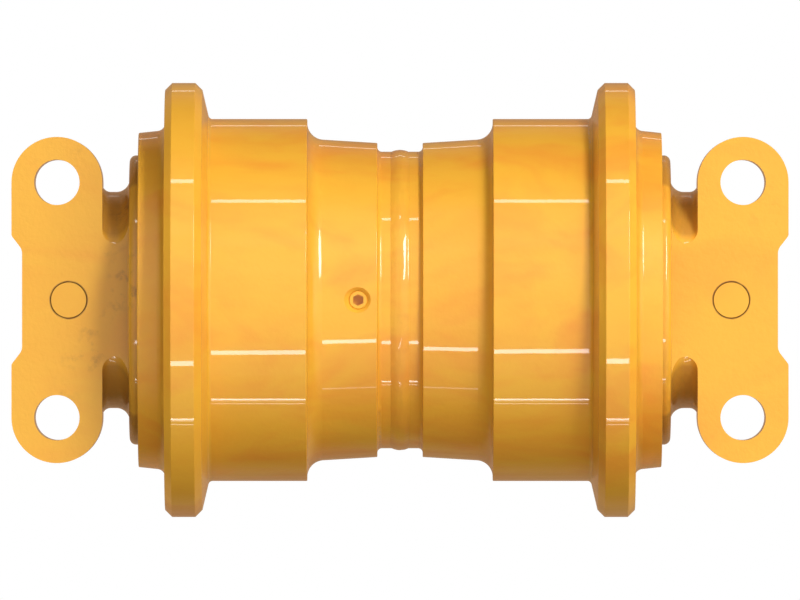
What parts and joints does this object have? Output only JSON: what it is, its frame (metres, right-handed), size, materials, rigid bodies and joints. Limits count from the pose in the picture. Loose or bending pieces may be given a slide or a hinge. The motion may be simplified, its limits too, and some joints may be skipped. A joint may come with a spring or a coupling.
{
  "type": "track roller",
  "caption": "Double-flange track roller: a welded shell turning on a fixed shaft, carried by forged end collars with flat seats and bolt ears.",
  "frame": {"origin": "on the roller's axis, midway between the two end collars", "axes": "+Y along the roller's axis towards the left collar, which is the side with the filler plug; +Z out of the collars' mounting seats, up towards the track frame; X along the track"},
  "size_m": [0.259, 0.462, 0.259],
  "materials": {
    "shell_paint": "gloss",
    "weld_paint": "gloss",
    "plug_paint": "gloss",
    "collar_paint": "gloss",
    "pin_paint": "gloss",
    "ground_steel": "ground",
    "seal_steel": "lapped",
    "bushing_bronze": "machined",
    "seal_rubber": "matte"
  },
  "bodies": {
    "shaft_and_collars": {"shaft": "ground_steel", "fixed_seal_ring_left": "seal_steel", "fixed_seal_ring_right": "seal_steel", "fixed_toric_ring_left": "seal_rubber", "fixed_toric_ring_right": "seal_rubber", "end_collar_left": "collar_paint", "end_collar_right": "collar_paint", "shaft_o_ring_left": "seal_rubber", "shaft_o_ring_right": "seal_rubber", "retaining_pin_left": "pin_paint", "retaining_pin_right": "pin_paint"},
    "roller": {"roller_shell_left": "shell_paint", "roller_shell_right": "shell_paint", "weld_seam": "weld_paint", "filler_plug": "plug_paint", "bushing_left": "bushing_bronze", "bushing_right": "bushing_bronze", "turning_seal_ring_left": "seal_steel", "turning_seal_ring_right": "seal_steel", "turning_toric_ring_left": "seal_rubber", "turning_toric_ring_right": "seal_rubber"}
  },
  "joints": [
    {"name": "roller_spin", "type": "hinge", "parent": "shaft_and_collars", "child": "roller", "pos_m": [0, 0, 0], "axis": [0, 1, 0], "continuous": true}
  ]
}
